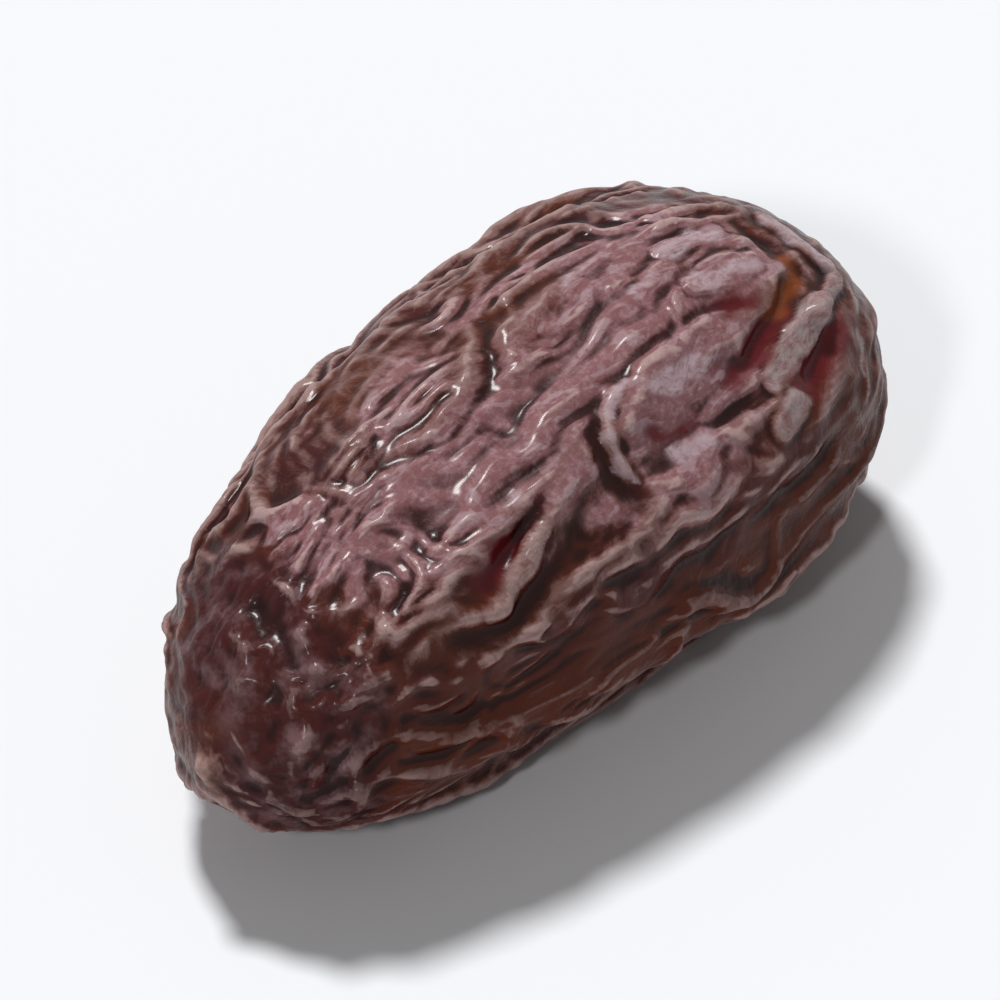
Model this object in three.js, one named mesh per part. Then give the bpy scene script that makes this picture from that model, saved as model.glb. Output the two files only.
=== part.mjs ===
// One dried date, lying on its side on a small flat spot of its own skin.
// Millimetres, +Z up. +X runs from the apex to the stem end, X and Y are centred on the fruit,
// and the flat spot it rests on is at Z = 0.

import * as THREE from "three";
import { mergeVertices } from "three/addons/utils/BufferGeometryUtils.js";

// Overall size of the fruit
const LENGTH = 46;
const WIDTH = 23.4;
const HEIGHT = 20.8;

// The widest ring is nearer the stem end, which is blunt; the apex tapers more.
const APEX_SHARE = 0.6;
const APEX_BLUNTNESS = 2.1;
const STEM_BLUNTNESS = 2.35;

// The cross-section is a rounded square rather than an ellipse.
const SECTION_BLUNTNESS = 2.15;

// How deep the underside is pressed flat, as a share of the height before it settled
const SETTLE_SHARE = 0.04;

// The fruit's spine bends a little sideways and its apex droops.
const SIDE_BEND = -0.09;
const APEX_DROOP = 0.11;

// Broad lengthwise furrows of the shrunken flesh. "around" is the angle in degrees from +Y over the top,
// "sweep" is how far that angle turns from the middle to the stem end, "half" is the furrow's half width
// in degrees and "depth" is a share of the radius. "from" and "to" run from 0 at the apex to 1 at the stem.
const FURROWS = [
  { around: 38, sweep: 10, half: 11, depth: 0.06, from: 0.12, to: 0.85 },
  { around: 72, sweep: -8, half: 9, depth: 0.05, from: 0.3, to: 0.97 },
  { around: 104, sweep: -14, half: 10, depth: 0.055, from: 0.06, to: 0.7 },
  { around: 140, sweep: -10, half: 12, depth: 0.07, from: 0.25, to: 0.95 },
  { around: 176, sweep: 6, half: 10, depth: 0.06, from: 0.05, to: 0.9 },
  { around: 214, sweep: 8, half: 12, depth: 0.06, from: 0.15, to: 0.8 },
  { around: 318, sweep: -6, half: 13, depth: 0.06, from: 0.12, to: 0.88 },
  { around: 356, sweep: 4, half: 11, depth: 0.05, from: 0.3, to: 0.95 },
];

// A round scar at the stem end, where the cap sat, with a low rim round a shallow dish. The dish's flat floor
// and the rim's half width are shares of the scar's radius.
const SCAR_RADIUS = 3.4;
const SCAR_DEPTH = 0.8;
const SCAR_RIM = 0.3;
const DISH_FLOOR = 0.35;
const RIM_SPREAD = 0.3;

// The stub of the flower's style at the apex
const STYLE_RADIUS = 0.9;
const STYLE_HEIGHT = 0.5;

const FACES_AROUND = 72;
const FACES_ALONG = 48;

const SKIN_COLOUR = 0x3b2226;

// A cosine raised to a power keeps its sign, which turns an ellipse into a blunter or sharper curve.
function blunt(cosine, bluntness) {
  return Math.sign(cosine) * Math.abs(cosine) ** (2 / bluntness);
}

// 0 outside the span from low to high, 1 well inside it, and smooth between
function fadeWithin(value, low, high) {
  const edge = (high - low) / 3;
  return (
    THREE.MathUtils.smoothstep(value, low, low + edge) *
    (1 - THREE.MathUtils.smoothstep(value, high - edge, high))
  );
}

// How much the radius shrinks, as a share, where the furrows run. along is 0 at the apex and 1 at the stem.
function furrowDepth(along, aroundDegrees) {
  let depth = 0;
  for (const furrow of FURROWS) {
    const middle = furrow.around + furrow.sweep * (2 * along - 1);
    const off = THREE.MathUtils.euclideanModulo(aroundDegrees - middle + 180, 360) - 180;
    const valley = Math.exp(-((off / furrow.half) ** 2));
    depth += furrow.depth * valley * fadeWithin(along, furrow.from, furrow.to);
  }
  return depth;
}

// Moves a point of the unit sphere, whose poles are on X, onto the fruit's smooth skin. The result is about
// one unit in half length, width and height; fitToSize gives it the real size.
function skinPoint(onSphere) {
  const polar = Math.acos(THREE.MathUtils.clamp(onSphere.x, -1, 1));
  const around = Math.atan2(onSphere.z, onSphere.y);
  const atStem = onSphere.x > 0;
  const bluntness = atStem ? STEM_BLUNTNESS : APEX_BLUNTNESS;
  const reach = 2 * (atStem ? 1 - APEX_SHARE : APEX_SHARE);
  const x = reach * blunt(Math.cos(polar), bluntness);
  const along = x / 2 + APEX_SHARE;
  const ring = blunt(Math.sin(polar), bluntness);
  const radius = ring * (1 - furrowDepth(along, THREE.MathUtils.radToDeg(around)));
  const bend = x * x;
  const droop = Math.min(x, 0) ** 2;
  return new THREE.Vector3(
    x,
    radius * blunt(Math.cos(around), SECTION_BLUNTNESS) + SIDE_BEND * bend,
    radius * blunt(Math.sin(around), SECTION_BLUNTNESS) - APEX_DROOP * droop,
  );
}

// A closed net of the skin, with its vertices shared
function skinNet() {
  const net = new THREE.SphereGeometry(1, FACES_AROUND, FACES_ALONG);
  net.rotateZ(-Math.PI / 2);
  net.deleteAttribute("normal");
  net.deleteAttribute("uv");
  return mergeVertices(net, 1e-5);
}

// Calls change(point) for every vertex, and stores what it leaves in point.
function eachPoint(geometry, change) {
  const positions = geometry.getAttribute("position");
  const point = new THREE.Vector3();
  for (let i = 0; i < positions.count; i += 1) {
    point.fromBufferAttribute(positions, i);
    change(point);
    positions.setXYZ(i, point.x, point.y, point.z);
  }
}

// Scales the fruit to its real size, with the part that will be pressed flat still below Z = 0.
function fitToSize(geometry) {
  geometry.computeBoundingBox();
  const { min, max } = geometry.boundingBox;
  const uncutHeight = HEIGHT / (1 - SETTLE_SHARE);
  geometry.translate(-(min.x + max.x) / 2, -(min.y + max.y) / 2, -min.z);
  geometry.scale(LENGTH / (max.x - min.x), WIDTH / (max.y - min.y), uncutHeight / (max.z - min.z));
  geometry.translate(0, 0, HEIGHT - uncutHeight);
}

// The point that reaches furthest along X, towards the stem end for side 1 and the apex for side -1
function endPoint(geometry, side) {
  const positions = geometry.getAttribute("position");
  const point = new THREE.Vector3();
  const furthest = new THREE.Vector3(-side * LENGTH, 0, 0);
  for (let i = 0; i < positions.count; i += 1) {
    point.fromBufferAttribute(positions, i);
    if (side * point.x > side * furthest.x) {
      furthest.copy(point);
    }
  }
  return furthest;
}

// How far a point is from an end's middle, measured across the fruit
function distanceAcross(point, centre) {
  return Math.hypot(point.y - centre.y, point.z - centre.z);
}

// Presses the scar's dish into the stem end and raises its rim.
function pressStemScar(geometry) {
  const centre = endPoint(geometry, 1);
  eachPoint(geometry, (point) => {
    if (point.x > 0) {
      const off = distanceAcross(point, centre) / SCAR_RADIUS;
      const dish = 1 - THREE.MathUtils.smoothstep(off, DISH_FLOOR, 1);
      const rim = Math.exp(-(((off - 1) / RIM_SPREAD) ** 2));
      point.x += SCAR_RIM * rim - SCAR_DEPTH * dish;
    }
  });
}

// Draws the stub of the style out of the apex.
function raiseStyle(geometry) {
  const centre = endPoint(geometry, -1);
  eachPoint(geometry, (point) => {
    if (point.x < 0) {
      const off = distanceAcross(point, centre) / STYLE_RADIUS;
      point.x -= STYLE_HEIGHT * Math.exp(-(off ** 2));
    }
  });
}

// Presses everything that would be below the surface it lies on up to that surface.
function settle(geometry) {
  eachPoint(geometry, (point) => {
    point.z = Math.max(point.z, 0);
  });
}

function fruitGeometry() {
  const geometry = skinNet();
  eachPoint(geometry, (point) => point.copy(skinPoint(point)));
  fitToSize(geometry);
  pressStemScar(geometry);
  raiseStyle(geometry);
  fitToSize(geometry);
  settle(geometry);
  geometry.computeVertexNormals();
  return geometry;
}

function makeFruit() {
  const skin = new THREE.MeshStandardMaterial({ color: SKIN_COLOUR, roughness: 0.45, metalness: 0 });
  const fruit = new THREE.Mesh(fruitGeometry(), skin);
  fruit.name = "date_fruit";
  return fruit;
}

const date = new THREE.Group();
date.name = "date";
date.add(makeFruit());

export default date;
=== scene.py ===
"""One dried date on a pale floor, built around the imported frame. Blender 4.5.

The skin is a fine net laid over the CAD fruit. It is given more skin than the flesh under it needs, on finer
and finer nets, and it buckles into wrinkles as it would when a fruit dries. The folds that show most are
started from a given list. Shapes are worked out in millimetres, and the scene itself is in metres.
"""

import math

import bpy
import numpy as np
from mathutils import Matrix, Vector
from mathutils.bvhtree import BVHTree


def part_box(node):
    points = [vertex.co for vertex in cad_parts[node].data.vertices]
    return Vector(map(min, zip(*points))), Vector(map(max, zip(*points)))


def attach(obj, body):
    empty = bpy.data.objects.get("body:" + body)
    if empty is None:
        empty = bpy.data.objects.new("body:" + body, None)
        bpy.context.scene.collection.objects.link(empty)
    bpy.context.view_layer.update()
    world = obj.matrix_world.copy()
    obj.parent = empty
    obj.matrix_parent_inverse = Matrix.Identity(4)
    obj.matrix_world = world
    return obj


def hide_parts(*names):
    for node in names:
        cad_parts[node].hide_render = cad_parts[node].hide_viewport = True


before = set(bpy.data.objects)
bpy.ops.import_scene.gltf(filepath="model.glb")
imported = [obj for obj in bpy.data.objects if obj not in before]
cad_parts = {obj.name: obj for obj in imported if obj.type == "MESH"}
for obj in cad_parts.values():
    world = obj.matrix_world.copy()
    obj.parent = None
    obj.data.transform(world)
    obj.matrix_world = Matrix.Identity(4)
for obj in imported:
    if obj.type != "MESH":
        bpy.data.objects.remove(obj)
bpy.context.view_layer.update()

FRUIT = "date_fruit"
MM = 0.001

# Camera: where it looks from, in degrees round the fruit and above the floor, and how tightly it frames it
CAMERA_TURN = 46
CAMERA_RISE = 43
CAMERA_DISTANCE = 0.75
FRAME_WIDTH = 0.05

# Nets from coarse to fine: cells from an end's pole to the rim of its cap, and rings between the two caps
NETS = ((12, 51), (24, 102), (48, 204))

# Where the net's parts lie on its flat map: left, right, low and high
APEX_MAP = (0.01, 0.38, 0.01, 0.38)
STEM_MAP = (0.40, 0.77, 0.01, 0.38)
TUBE_MAP = (0.01, 0.99, 0.40, 0.99)

# Steps along half the fruit's outline when a net is laid on it
OUTLINE_STEPS = 720

# The fruit's own number, and the number each kind of noise starts from, so that no two are drawn alike
RANDOM_SEED = 7
SEEDS = {
    "patch": 10,
    "start": 20,
    "turn": 30,
    "crests": 50,
    "puckers": 70,
    "torn": 80,
    "strength": 90,
    "waver": 91,
}

# How much the waves of one noise differ in length, and how many standard deviations of their sum count as 1
WAVE_SPREAD = (0.75, 1.5)
WAVE_PEAK = 1.6


def new_object(name, data):
    """A new object in the scene that shows the data."""
    thing = bpy.data.objects.new(name, data)
    bpy.context.scene.collection.objects.link(thing)
    return thing


# ------------------------ camera


def make_camera(low, high):
    """A long lens that looks down on the fruit from one side of its tip."""
    centre = (Vector(low) + Vector(high)) / 2
    turn = math.radians(CAMERA_TURN)
    rise = math.radians(CAMERA_RISE)
    towards = Vector((-math.sin(turn) * math.cos(rise), -math.cos(turn) * math.cos(rise), math.sin(rise)))
    data = bpy.data.cameras.new("camera")
    data.sensor_width = 36
    data.lens = data.sensor_width * CAMERA_DISTANCE / FRAME_WIDTH
    data.clip_start = 0.01
    camera = new_object("camera", data)
    camera.location = centre + towards * CAMERA_DISTANCE
    camera.rotation_euler = (-towards).to_track_quat("-Z", "Y").to_euler()
    bpy.context.scene.camera = camera


# ------------------------ net


def square_angle(i, j):
    """The direction of a square cap's point, in radians, with even steps along each square ring."""
    steep = np.abs(j) > np.abs(i)
    flat_step = np.divide(j, i, out=np.zeros(i.shape), where=~steep & (i != 0))
    steep_step = np.divide(i, j, out=np.zeros(i.shape), where=steep)
    angle = np.where(steep, np.pi / 2 - np.pi / 4 * steep_step, np.pi / 4 * flat_step)
    behind = np.where(steep, j < 0, i < 0)
    return (angle + np.pi * behind) % (2 * np.pi)


def quads_of(grid):
    """The four corners of each cell of a grid of point numbers."""
    corners = grid[:-1, :-1], grid[:-1, 1:], grid[1:, 1:], grid[1:, :-1]
    return np.stack([c.ravel() for c in corners], axis=1)


def map_of(grid, left, right, low, high):
    """Where the corners of each cell of a grid lie on a flat map, when the grid fills the given rectangle."""
    rows, columns = grid.shape
    across, up = np.meshgrid(np.linspace(left, right, columns), np.linspace(low, high, rows))
    return np.stack([quads_of(across), quads_of(up)], axis=2)


def neighbour_table(pairs, count):
    """Row i holds the points paired with point i. Short rows are filled up with i itself."""
    both = np.unique(np.concatenate([pairs, pairs[:, ::-1]]), axis=0)
    first = np.searchsorted(both[:, 0], np.arange(count))
    place = np.arange(len(both)) - first[both[:, 0]]
    table = np.repeat(np.arange(count)[:, None], place.max() + 1, axis=1)
    table[both[:, 0], place] = both[:, 1]
    return table


class Net:
    """A closed net of four-sided cells: a square cap at each end, joined by a tube of rings.

    share runs from 0 at the apex to 1 at the stem end along the skin, turn is the angle from +Y over the top,
    and map is where each cell's corners lie on a flat map.
    """

    def __init__(self, half_cap, rings):
        side = 2 * half_cap + 1
        steps = np.arange(-half_cap, half_cap + 1)
        i, j = np.meshgrid(steps, steps, indexing="ij")
        reach = np.maximum(np.abs(i), np.abs(j))
        angle = square_angle(i, j)
        rim = np.flatnonzero(reach.ravel() == half_cap)
        rim = rim[np.argsort(angle.ravel()[rim])]
        around = 8 * half_cap

        self.apex = np.arange(side * side).reshape(side, side)
        self.stem = self.apex + side * side
        middle = 2 * side * side + np.arange((rings - 1) * around).reshape(rings - 1, around)
        self.tube = np.concatenate([[rim], middle, [rim + side * side]])
        self.count = 2 * side * side + middle.size

        span = rings + 2 * half_cap
        self.share = np.empty(self.count)
        self.turn = np.empty(self.count)
        self.share[self.apex] = reach / span
        self.share[self.stem] = 1 - reach / span
        self.turn[self.apex] = self.turn[self.stem] = angle
        self.share[self.tube] = ((half_cap + np.arange(rings + 1)) / span)[:, None]
        self.turn[self.tube] = 2 * np.pi * np.arange(around) / around

        self.wrapped = np.concatenate([self.tube, self.tube[:, :1]], axis=1)
        self.quads = np.concatenate([
            quads_of(self.apex),
            quads_of(self.stem)[:, ::-1],
            quads_of(self.wrapped),
        ])
        self.map = np.concatenate([
            map_of(self.apex, *APEX_MAP),
            map_of(self.stem, *STEM_MAP)[:, ::-1],
            map_of(self.wrapped, *TUBE_MAP),
        ])
        sides = [self.quads[:, [k, (k + 1) % 4]] for k in range(4)]
        crossings = [self.quads[:, [0, 2]], self.quads[:, [1, 3]]]
        self.beside = neighbour_table(np.concatenate(sides), self.count)
        across = neighbour_table(np.concatenate(crossings), self.count)
        self.near = np.concatenate([self.beside, across], axis=1)

    def smooth(self, values, times=1):
        """Each point's value moves halfway to the mean of the points beside it."""
        for _ in range(times):
            values = (values + values[self.beside].mean(axis=1)) / 2
        return values

    def unevenness(self, values):
        """How far the points beside each point are from it on average."""
        return values[self.beside].mean(axis=1) - values

    def slope(self, points, values):
        """How steeply the values change across the net, per millimetre."""
        step = np.linalg.norm(points[self.beside] - points[:, None], axis=2)
        change = (values[self.beside] - values[:, None]) / np.maximum(step, 1e-3)
        return np.sqrt(2 * (change ** 2).mean(axis=1))

    def normals(self, points):
        """The outward unit normal at each point."""
        a, b, c, d = (points[self.quads[:, k]] for k in range(4))
        face = np.cross(c - a, d - b)
        corners = self.quads.T.ravel()
        total = [np.bincount(corners, np.tile(face[:, k], 4), self.count) for k in range(3)]
        normal = np.stack(total, axis=1)
        return normal / np.linalg.norm(normal, axis=1, keepdims=True)


def doubled(grid):
    """A grid of values with a new row and column halfway between each two."""
    rows = np.repeat(grid, 2, axis=0)[:-1]
    rows[1::2] = (grid[:-1] + grid[1:]) / 2
    cells = np.repeat(rows, 2, axis=1)[:, :-1]
    cells[:, 1::2] = (rows[:, :-1] + rows[:, 1:]) / 2
    return cells


def carry_over(coarse, fine, values):
    """Values on the coarse net, read at the points of the net with cells half as wide."""
    result = np.empty((fine.count,) + values.shape[1:])
    result[fine.tube] = doubled(values[coarse.wrapped])[:, :-1]
    result[fine.apex] = doubled(values[coarse.apex])
    result[fine.stem] = doubled(values[coarse.stem])
    return result


# ------------------------ flesh


class Flesh:
    """The CAD fruit's surface, in millimetres."""

    def __init__(self, node, low, high):
        mesh = node.data
        points = [v.co / MM for v in mesh.vertices]
        self.tree = BVHTree.FromPolygons(points, [p.vertices for p in mesh.polygons])
        self.low = np.array(low) / MM
        self.high = np.array(high) / MM
        self.centre = (self.low + self.high) / 2
        points = np.array(points)
        self.scar = points[points[:, 0] > self.high[0] - SCAR_SEARCH].mean(axis=0)
        self.tip = points[points[:, 0].argmin()]

    def hit(self, origin, direction):
        """Where a ray from inside the fruit leaves it."""
        return self.tree.ray_cast(Vector(origin), Vector(direction))[0]

    def lay(self, net):
        """The net's points on the surface, with even steps from end to end."""
        half_length, half_width, half_height = (self.high - self.low) / 2
        radius = (half_width + half_height) / 2
        fine = np.linspace(0, np.pi, OUTLINE_STEPS + 1)
        step = np.hypot(np.diff(np.cos(fine)) * half_length, np.diff(np.sin(fine)) * radius)
        walked = np.concatenate([[0], np.cumsum(step)])
        polar = np.interp((1 - net.share) * walked[-1], walked, fine)
        outward = np.stack([
            np.cos(polar) / half_length,
            np.sin(polar) * np.cos(net.turn) / radius,
            np.sin(polar) * np.sin(net.turn) / radius,
        ], axis=1)
        origin = np.tile(self.centre, (net.count, 1))
        origin[:, 0] += (half_length - radius * radius / half_length) * np.cos(polar)
        return np.array([self.hit(o, d) for o, d in zip(origin, outward)])

    def place(self, along, around):
        """The surface's point at a share of the length from the apex, and degrees from +Y over the top."""
        angle = math.radians(around)
        origin = (self.low[0] + along * (self.high[0] - self.low[0]), self.centre[1], self.centre[2])
        return np.array(self.hit(origin, (0, math.cos(angle), math.sin(angle))))


# ------------------------ noise


def soft_noise(points, wavelength, seed, stretch=1.0, waves=28):
    """Smooth noise between about -1 and 1. stretch makes its blotches longer along the fruit."""
    random = np.random.default_rng(RANDOM_SEED * 1000 + seed)
    direction = random.normal(size=(waves, 3))
    direction /= np.linalg.norm(direction, axis=1, keepdims=True)
    direction[:, 0] /= stretch
    pace = 2 * np.pi / (wavelength * random.uniform(*WAVE_SPREAD, waves))
    start = random.uniform(0, 2 * np.pi, waves)
    total = np.zeros(len(points))
    for way, rate, first in zip(direction, pace, start):
        total += np.cos(points @ way * rate + first)
    return total / math.sqrt(waves / 2) / WAVE_PEAK


def noise_vectors(points, wavelength, seed, stretch=1.0):
    """A smoothly changing vector at each point, each part of it between about -1 and 1."""
    return np.stack([soft_noise(points, wavelength, seed + k, stretch) for k in range(3)], axis=1)


# ------------------------ listed folds

# Each fold is its cross-section, its height and half width in millimetres, and the places it runs through,
# each a share of the length from the apex and an angle in degrees from +Y over the top. Negative heights are
# furrows.
FOLDS = (
    # on top, towards the far side
    ("sharp", 0.45, 0.26, ((0.50, 57), (0.45, 55), (0.41, 55), (0.38, 55), (0.34, 59))),
    ("sharp", 0.40, 0.26, ((0.48, 66), (0.45, 64), (0.41, 63), (0.36, 65), (0.335, 70))),
    ("sharp", 0.60, 0.34, (
        (0.62, 60), (0.58, 62), (0.54, 68), (0.49, 80), (0.45, 89), (0.41, 95), (0.37, 96),
        (0.33, 92),
    )),
    ("round", -0.35, 0.7, ((0.52, 78), (0.48, 92), (0.42, 101), (0.37, 102), (0.32, 97))),
    ("sharp", 0.45, 0.30, (
        (0.28, 96), (0.30, 99), (0.33, 102), (0.36, 102), (0.39, 103), (0.43, 102), (0.47, 102),
    )),
    ("sharp", 0.50, 0.30, ((0.50, 86), (0.54, 85), (0.58, 86), (0.62, 84), (0.69, 83), (0.74, 82))),
    ("sharp", 0.45, 0.30, ((0.53, 93), (0.60, 93), (0.65, 91), (0.70, 90), (0.75, 89))),
    ("flat", 0.32, 0.6, ((0.74, 94), (0.78, 95), (0.82, 96))),
    ("sharp", 0.45, 0.30, (
        (0.45, 115), (0.49, 112), (0.52, 110), (0.56, 106), (0.60, 104), (0.66, 103), (0.73, 102),
    )),
    ("flat", 0.34, 0.6, ((0.73, 109), (0.78, 112), (0.83, 113))),
    ("round", 0.50, 0.8, (
        (0.36, 120), (0.41, 120), (0.44, 120), (0.49, 118), (0.54, 115), (0.57, 113), (0.61, 113),
        (0.66, 113),
    )),
    ("round", -0.40, 0.5, ((0.36, 126), (0.42, 125), (0.47, 123), (0.53, 119))),
    ("sharp", 0.40, 0.30, ((0.36, 133), (0.41, 131), (0.44, 130), (0.47, 128))),
    ("sharp", 0.40, 0.30, ((0.66, 120), (0.70, 120), (0.75, 121))),
    ("sharp", 0.40, 0.30, ((0.66, 129), (0.70, 128), (0.76, 129))),
    ("sharp", 0.45, 0.30, ((0.795, 57), (0.82, 60), (0.835, 66), (0.865, 74), (0.915, 78))),
    # the raised field with a rolled edge that shuts off the folds from the stem end
    ("flat", 0.40, 2.3, ((0.69, 131), (0.62, 131), (0.585, 137), (0.59, 145))),
    ("sharp", 0.60, 0.24, (
        (0.575, 122), (0.549, 123), (0.528, 127), (0.516, 133), (0.519, 139), (0.53, 145),
    )),
    ("round", -0.45, 0.55, (
        (0.55, 119), (0.52, 123), (0.50, 129), (0.495, 136), (0.50, 144), (0.52, 150),
    )),
    ("round", -0.30, 0.35, ((0.57, 136), (0.59, 140), (0.625, 141))),
    # the long crest down to the apex, double at its upper end
    ("round", 0.55, 0.8, ((0.49, 134), (0.46, 135), (0.43, 137), (0.40, 140), (0.38, 144))),
    ("sharp", 0.75, 0.30, (
        (0.40, 142), (0.38, 144), (0.355, 149), (0.33, 151), (0.31, 153), (0.28, 153), (0.26, 152),
        (0.23, 151), (0.21, 152), (0.19, 156), (0.17, 164),
    )),
    ("sharp", 0.55, 0.22, ((0.385, 141), (0.36, 144), (0.337, 148), (0.306, 150), (0.285, 151))),
    ("round", -0.65, 0.6, ((0.39, 137), (0.35, 141), (0.32, 145), (0.29, 146))),
    ("round", -0.55, 0.7, ((0.37, 152), (0.33, 157), (0.29, 159), (0.24, 157))),
    ("round", 0.45, 0.9, ((0.45, 144), (0.47, 147), (0.49, 150))),
    ("sharp", 0.50, 0.26, ((0.245, 168), (0.221, 166), (0.195, 163), (0.165, 165), (0.14, 170))),
    # short arcs near the apex
    ("sharp", 0.45, 0.26, ((0.26, 67), (0.245, 75), (0.255, 87), (0.264, 98))),
    ("sharp", 0.35, 0.22, ((0.23, 92), (0.25, 95))),
    ("sharp", 0.40, 0.26, ((0.22, 114), (0.236, 120), (0.255, 121), (0.28, 115))),
    ("sharp", 0.60, 0.30, (
        (0.143, 80), (0.142, 99), (0.135, 112), (0.139, 121), (0.156, 125), (0.174, 128),
        (0.198, 129),
    )),
    ("round", -0.45, 0.7, ((0.115, 85), (0.112, 105), (0.11, 120))),
    # long folds on the near side
    ("sharp", 0.50, 0.30, (
        (0.68, 171), (0.61, 170), (0.556, 170), (0.52, 173), (0.49, 176), (0.44, 173), (0.37, 169),
    )),
    ("sharp", 0.45, 0.30, ((0.66, 161), (0.60, 161), (0.55, 161), (0.49, 162))),
    ("sharp", 0.45, 0.30, ((0.78, 168), (0.71, 168), (0.66, 169))),
    ("sharp", 0.50, 0.30, ((0.66, 184), (0.57, 179), (0.49, 180), (0.43, 180), (0.37, 176))),
    ("sharp", 0.50, 0.30, ((0.46, 171), (0.41, 166), (0.37, 164))),
    ("sharp", 0.50, 0.30, ((0.81, 176), (0.79, 180), (0.765, 181), (0.74, 180))),
    ("round", -0.45, 0.6, ((0.82, 173), (0.68, 175), (0.56, 175), (0.50, 180))),
    ("round", -0.40, 0.6, ((0.64, 166), (0.55, 166), (0.45, 167), (0.40, 171))),
    # round the stem end: a dry flake, a slit, a torn ridge, a sunken pocket and the rim beyond it
    ("flat", 0.69, 0.75, ((0.905, 98), (0.908, 112), (0.92, 126))),
    ("round", -0.55, 0.45, ((0.865, 98), (0.865, 115), (0.875, 128))),
    ("round", -0.95, 0.55, (
        (0.865, 124), (0.84, 127), (0.82, 129), (0.78, 133), (0.74, 135), (0.70, 137),
    )),
    ("round", -0.45, 0.6, ((0.73, 119), (0.78, 121), (0.81, 125))),
    ("flat", 0.57, 0.5, ((0.915, 134), (0.88, 136), (0.85, 138))),
    ("flat", 0.52, 0.85, ((0.865, 137), (0.83, 139.5), (0.81, 140.5))),
    ("flat", 0.40, 0.7, ((0.785, 143), (0.75, 145))),
    ("round", -0.85, 0.85, ((0.86, 145), (0.815, 149), (0.79, 151))),
    ("flat", 0.34, 0.85, ((0.76, 154), (0.73, 156))),
    ("sharp", 0.50, 0.26, ((0.937, 140), (0.904, 152), (0.888, 163), (0.875, 172))),
)

# Lumps of the glossy skin near the apex: each a place, a height and a half width
LUMPS = (
    ((0.080, 82), 0.52, 0.88),
    ((0.080, 100), 0.45, 0.77),
    ((0.080, 116), 0.60, 0.83),
    ((0.116, 131), 0.60, 0.88),
    ((0.108, 142), 0.45, 0.66),
    ((0.108, 152), 0.52, 0.77),
    ((0.130, 157), 0.52, 0.66),
    ((0.066, 60), 0.45, 0.99),
    ((0.062, 132), 0.52, 0.88),
    ((0.079, 150), 0.45, 0.77),
    ((0.150, 146), 0.45, 0.72),
    ((0.186, 143), 0.45, 0.66),
    ((0.070, 170), 0.45, 0.88),
    ((0.120, 178), 0.45, 0.88),
    ((0.100, 196), 0.45, 0.99),
    ((0.150, 60), 0.38, 0.88),
)

# The scar the cap left at the stem end, in millimetres: a sunken dish inside a low rim
SCAR_DISH = 2.2
SCAR_DEPTH = 0.8
SCAR_WALL = 1.2
SCAR_RIM = 2.9
SCAR_RIM_WIDTH = 0.55
SCAR_RIM_HEIGHT = 0.45

# How far from the stem end the scar's middle is looked for and how far the scar's marks can reach, in
# millimetres, and how fast they fade out beyond that
SCAR_SEARCH = 0.4
SCAR_REACH = 3.0
SCAR_FADE = 4

# The dry stub of the flower's style at the tip, in millimetres
STYLE_RADIUS = 0.5
STYLE_HEIGHT = 0.5

# The rounding of a sharp crest in millimetres, and how far a flat fold reaches and how wide its edge is, in
# half widths
CREST_ROUNDING = 0.2
FLAT_REACH = 1.2
FLAT_EDGE = 0.4

# A fold's height at its two ends, as a share of its crest, and how fast it rises from there
FOLD_END = 0.35
FOLD_RISE = 5

# The folds' usual strength, how much it varies, and the size of the blotches in which it does, in millimetres
STRENGTH = 0.8
STRENGTH_SPREAD = 0.4
STRENGTH_SIZE = 4

# How far the folds waver from their places and over what distance, and how far round them and round the scar
# other wrinkles are held back, all in millimetres
FOLD_WAVER = 0.25
WAVER_SIZE = 3
FOLD_CLEARANCE = 0.7
SCAR_CLEARANCE = 1.5

# The grain runs as if the skin lay on a straight tube of this length and radius, in millimetres
UNROLLED_LENGTH = 60
UNROLLED_RADIUS = 11

# The thin crests drawn at random: the size of their bends, how far they bend, and the size of the blotches in
# which they are stronger or weaker, all in spacings, and the slope, per spacing, that keeps them thin where
# the noise is flat
BEND_SIZE = 2.2
BEND = 0.45
BLOTCH_SIZE = 3
LEAST_SLOPE = 0.3


def smooth_line(places, steps=14):
    """A curve through the places, as many close points."""
    places = np.array(places, float)
    padded = np.concatenate([[2 * places[0] - places[1]], places, [2 * places[-1] - places[-2]]])
    part = np.linspace(0, 1, steps, endpoint=False)[:, None]
    pieces = []
    for before, start, end, after in zip(padded, padded[1:], padded[2:], padded[3:]):
        pieces.append(0.5 * (
            2 * start + (end - before) * part
            + (2 * before - 5 * start + 4 * end - after) * part ** 2
            + (3 * start - before - 3 * end + after) * part ** 3
        ))
    return np.concatenate(pieces + [places[-1:]])


def distance_to_line(points, line):
    """How far each point is from the nearest point of a line, and how far along the line that is, 0 to 1."""
    nearest = np.full(len(points), np.inf)
    where = np.zeros(len(points))
    for k, spot in enumerate(line):
        away = np.einsum("ij,ij->i", points - spot, points - spot)
        closer = away < nearest
        nearest[closer] = away[closer]
        where[closer] = k / (len(line) - 1)
    return np.sqrt(nearest), where


def smoothed_step(value):
    """0 below 0, 1 above 1, and smooth between."""
    value = np.clip(value, 0, 1)
    return value * value * (3 - 2 * value)


def cross_section(kind, away, half_width):
    """The height of a fold, as a share of its crest's, at a distance from its line."""
    if kind == "sharp":
        return np.exp((CREST_ROUNDING - np.sqrt(away ** 2 + CREST_ROUNDING ** 2)) / half_width)
    if kind == "round":
        return np.exp(-((away / half_width) ** 2))
    return smoothed_step((FLAT_REACH - away / half_width) / FLAT_EDGE)


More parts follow.
